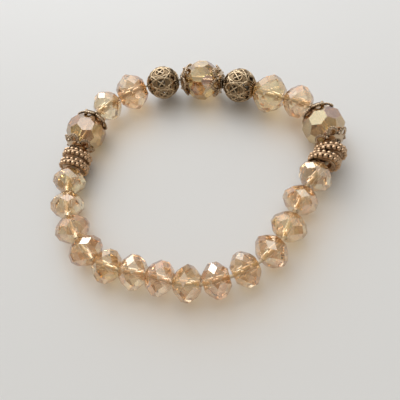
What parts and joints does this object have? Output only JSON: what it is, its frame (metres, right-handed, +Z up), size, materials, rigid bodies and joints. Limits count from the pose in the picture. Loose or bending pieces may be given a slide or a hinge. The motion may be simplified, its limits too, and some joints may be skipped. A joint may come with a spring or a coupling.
{
  "type": "beaded stretch bracelet",
  "caption": "Stretch bracelet of faceted champagne glass beads with capped focal beads, openwork metal beads and granulated spacers on a clear elastic thread, lying flat as a loop.",
  "frame": {"origin": "on the table, under the middle of the loop's box", "axes": "+X across the loop, along its longest extent, +Y towards the back of the loop with the middle focal bead, +Z up, the loop's thickness"},
  "size_m": [0.0711, 0.0643, 0.01],
  "materials": {
    "crystal_glass": "transparent champagne glass, polished facets with a pink and gold lustre",
    "focal_glass": "transparent topaz glass, polished facets with a gold and lilac lustre",
    "openwork_metal": "antique rose gold plate, darkened in the recesses",
    "spacer_metal": "antique copper gold plate, darkened between the granules",
    "cap_metal": "antique gold plate, darkened in the recesses",
    "elastic": "clear elastic thread"
  },
  "bodies": {
    "root": {"focal_bead_back": "focal_glass", "openwork_bead_right": "openwork_metal", "wide_crystal_right": "crystal_glass", "crystal_01": "crystal_glass", "focal_bead_right": "focal_glass", "spacer_right_upper": "spacer_metal", "spacer_right_lower": "spacer_metal", "crystal_02": "crystal_glass", "crystal_03": "crystal_glass", "crystal_04": "crystal_glass", "crystal_05": "crystal_glass", "crystal_06": "crystal_glass", "crystal_07": "crystal_glass", "crystal_08": "crystal_glass", "crystal_09": "crystal_glass", "crystal_10": "crystal_glass", "crystal_11": "crystal_glass", "crystal_12": "crystal_glass", "crystal_13": "crystal_glass", "crystal_14": "crystal_glass", "crystal_15": "crystal_glass", "spacer_left_lower": "spacer_metal", "spacer_left_upper": "spacer_metal", "focal_bead_left": "focal_glass", "crystal_16": "crystal_glass", "wide_crystal_left": "crystal_glass", "openwork_bead_left": "openwork_metal", "cap_back_left": "cap_metal", "cap_back_right": "cap_metal", "cap_right_upper": "cap_metal", "cap_right_lower": "cap_metal", "cap_left_lower": "cap_metal", "cap_left_upper": "cap_metal", "elastic_thread": "elastic"}
  },
  "joints": []
}
